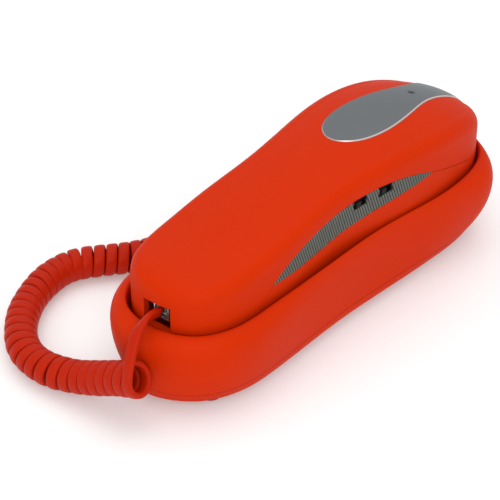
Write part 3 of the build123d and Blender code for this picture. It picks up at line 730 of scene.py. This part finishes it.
# ---- Indicator -----------------------------------------------------------------------------
def make_indicator():
    """The indicator: a dark domed lens in a thin ring, on the panel's surface."""
    low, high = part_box("indicator_lens")
    y = 0.5 * (low.y + high.y)
    tree = surface_of("ear_inlay", "handset_outer_shell")
    ahead = top_hit(tree, 0, y + 3.0 * MM)
    behind = top_hit(tree, 0, y - 3.0 * MM)
    slope = (ahead - behind).normalized()
    normal = Vector((1, 0, 0)).cross(slope).normalized()
    place = (ahead + behind) / 2 + normal * INLAY_RISE
    ring = [(1.85, -0.5), (1.85, 0.02), (1.78, 0.10), (1.62, 0.10), (1.55, 0.02), (1.52, -0.5)]
    lens = [(1.52, -0.5), (1.52, -0.06), (1.3, 0.02), (0.8, 0.09), (0.02, 0.11)]
    edge = turned("indicator_ring", ring, place, normal)
    add_piece(edge, "handset", "metallic_grey")
    dome = turned("indicator_dome", lens, place, normal)
    add_piece(dome, "handset", "smoked_lens", "indicator_lens")


make_indicator()


def modular_plug(name, node, body, out, face):
    """A modular plug whose cord leaves along out, with its outer face at the given distance."""
    low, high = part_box(node)
    middle = (low + high) / 2
    along = Vector(out)
    across = Vector((0, 0, 1)).cross(along)
    turn = Matrix((across, along, Vector((0, 0, 1)))).transposed()
    origin = middle + along * (face - along.dot(middle))

    def set_out(part, low_corner, high_corner, bevel, lean=0.0):
        block = moulded_block(part, [c * MM for c in low_corner], [c * MM for c in high_corner], bevel * MM)
        for vertex in block.data.vertices:
            place = vertex.co.copy()
            place.z += lean * (place.y - high_corner[1] * MM)
            vertex.co = turn @ place + origin
        return block

    shell = joined(
        name,
        [
            set_out("plug_body", (-3.8, -11.6, -3.05), (3.8, -2.6, 3.05), 0.25),
            set_out("plug_left_cheek", (-3.8, -2.8, -3.05), (-2.75, 0, 3.05), 0.2),
            set_out("plug_right_cheek", (2.75, -2.8, -3.05), (3.8, 0, 3.05), 0.2),
            set_out("plug_top", (-2.9, -2.8, 1.95), (2.9, 0, 3.05), 0.2),
            set_out("plug_floor", (-2.9, -2.8, -3.05), (2.9, 0, -1.95), 0.2),
            set_out("plug_latch", (-1.5, -9.5, 3.0), (1.5, 0.4, 3.7), 0.15, 0.02),
        ],
    )
    add_piece(shell, body, "clear_plastic", node)
    pins = [
        set_out("pin", (x - 0.18, -11.3, -3.2), (x + 0.18, -8.2, -1.6), 0.06) for x in (-1.5, -0.5, 0.5, 1.5)
    ]
    add_piece(joined(name + "_contacts", pins), body, "gold_contact")


modular_plug("handset_plug", "handset_cord_plug", "handset", (0, -1, 0), -(-88.6 + 2.0) * MM)
modular_plug("base_plug", "base_cord_plug", "base", (-1, 0, 0), 35.0 * MM)


# ---- Screws --------------------------------------------------------------------------------
def cross_screw(x, y, head_low, head_high, shank_high, radius, shank):
    """A pan-head screw seen from below, with a cross recess."""
    segments = 40
    arm, half, deep = 0.52 * radius, 0.13 * radius, 0.75 * (head_high - head_low)
    cross = [
        (arm, -half), (arm, half), (half, half), (half, arm), (-half, arm), (-half, half),
        (-arm, half), (-arm, -half), (-half, -half), (-half, -arm), (half, -arm), (half, -half),
    ]
    work = bmesh.new()

    def ring(radius_here, z):
        return [
            work.verts.new(
                (
                    x + radius_here * math.cos(2 * math.pi * k / segments),
                    y + radius_here * math.sin(2 * math.pi * k / segments),
                    z,
                )
            )
            for k in range(segments)
        ]

    def skin(a, b):
        for k in range(len(a)):
            work.faces.new((a[k], a[(k + 1) % len(a)], b[(k + 1) % len(b)], b[k]))

    rings = [
        ring(0.86 * radius, head_low),
        ring(0.97 * radius, head_low + 0.18 * (head_high - head_low)),
        ring(radius, head_low + 0.45 * (head_high - head_low)),
        ring(radius, head_high),
        ring(shank, head_high),
        ring(shank, shank_high),
    ]
    for a, b in zip(rings, rings[1:]):
        skin(a, b)
    work.faces.new(rings[-1])
    mouth = [work.verts.new((x + u, y + v, head_low)) for u, v in cross]
    floor = [work.verts.new((x + 0.8 * u, y + 0.8 * v, head_low + deep)) for u, v in cross]
    skin(mouth, floor)
    work.faces.new(floor)
    rim_edges = [work.edges.get((rings[0][k], rings[0][(k + 1) % segments])) for k in range(segments)]
    mouth_edges = [work.edges.get((mouth[k], mouth[(k + 1) % 12])) for k in range(12)]
    bmesh.ops.triangle_fill(work, use_beauty=True, edges=rim_edges + mouth_edges)
    bmesh.ops.recalc_face_normals(work, faces=work.faces)
    mesh = bpy.data.meshes.new("screw")
    work.to_mesh(mesh)
    work.free()
    piece = bpy.data.objects.new("screw", mesh)
    bpy.context.scene.collection.objects.link(piece)
    return piece


def make_screws(name, node, body, radius, head):
    """The screws of one node, each on the axis of its CAD solid."""
    low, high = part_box(node)
    seen = {}
    for vertex in NODES[node].data.vertices:
        key = (vertex.co.x > 0, vertex.co.y > 0)
        seen.setdefault(key, []).append(vertex.co)
    screws = []
    for spots in seen.values():
        x = (min(c.x for c in spots) + max(c.x for c in spots)) / 2
        y = (min(c.y for c in spots) + max(c.y for c in spots)) / 2
        screws.append(cross_screw(x, y, low.z, low.z + head * MM, high.z, radius * MM, 1.15 * MM))
    whole = joined(name, screws)
    for polygon in whole.data.polygons:
        polygon.use_smooth = True
    crease(whole, 35)
    add_piece(whole, body, "steel", node)


make_screws("base_cross_screws", "base_screws", "base", 2.6, 1.8)
make_screws("handset_cross_screws", "handset_screws", "handset", 2.5, 1.7)

# ---- Figures on the keys -------------------------------------------------------------------
FIGURES = {
    "key_1": "1", "key_2": "2", "key_3": "3", "key_4": "4", "key_5": "5", "key_6": "6", "key_7": "7",
    "key_8": "8", "key_9": "9", "key_star": "*", "key_0": "0", "key_hash": "#",
}


def print_figure(key, text):
    """A figure printed on a key's face, which looks down when the handset lies in its cradle."""
    low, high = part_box(key)
    data = bpy.data.curves.new("figure", "FONT")
    data.body = text
    data.size = 4.6 * MM
    data.extrude = 0.02 * MM
    data.resolution_u = 4
    source = bpy.data.objects.new("figure", data)
    mesh = bpy.data.meshes.new_from_object(source)
    bpy.data.objects.remove(source)
    xs = [v.co.x for v in mesh.vertices]
    ys = [v.co.y for v in mesh.vertices]
    centre = Vector(((min(xs) + max(xs)) / 2, (min(ys) + max(ys)) / 2, 0))
    target = Vector(((low.x + high.x) / 2, (low.y + high.y) / 2, low.z - 0.01 * MM))
    for vertex in mesh.vertices:
        spot = vertex.co - centre
        vertex.co = Vector((-spot.x, spot.y, -spot.z)) + target
    figure = bpy.data.objects.new("figure_" + key[4:], mesh)
    bpy.context.scene.collection.objects.link(figure)
    add_piece(figure, key, "black_plastic", materials=[KEY_PRINT])


for key, text in FIGURES.items():
    print_figure(key, text)


# ---- Floor and light -----------------------------------------------------------------------
def make_floor():
    """A plain pale floor."""
    half = 3.0
    floor = mesh_object(
        "floor",
        [(-half, -half, 0), (half, -half, 0), (half, half, 0), (-half, half, 0)],
        [(0, 1, 2, 3)],
        smooth=False,
    )
    paint(
        floor,
        surface_material(
            "floor", (0.76, 0.77, 0.77), 0.8, grain=2.0, depth=0.0, tint=0.005, Emission_Color=(1, 1, 1, 1),
            Emission_Strength=0.2, Specular_IOR_Level=0.1
        ),
    )


def area_light(name, place, target, size, power):
    """A soft square light that points at a target."""
    data = bpy.data.lights.new(name, "AREA")
    data.size = size
    data.energy = power
    light = bpy.data.objects.new(name, data)
    bpy.context.scene.collection.objects.link(light)
    light.location = place
    light.rotation_euler = (Vector(target) - Vector(place)).to_track_quat("-Z", "Y").to_euler()


make_floor()
area_light("key", (-0.15, 0.15, 1.15), (0, 0, 0), 1.2, 4.6)
area_light("fill", (0.8, -0.95, 0.85), (0, 0, 0.03), 0.9, 8.0)
world = bpy.data.worlds.new("studio")
world.use_nodes = True
world.node_tree.nodes["Background"].inputs["Color"].default_value = (1, 1, 1, 1)
world.node_tree.nodes["Background"].inputs["Strength"].default_value = 0.76
bpy.context.scene.world = world
bpy.context.scene.view_settings.view_transform = "Standard"

# ---- Cord's place in the frame -------------------------------------------------------------
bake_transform(cord)
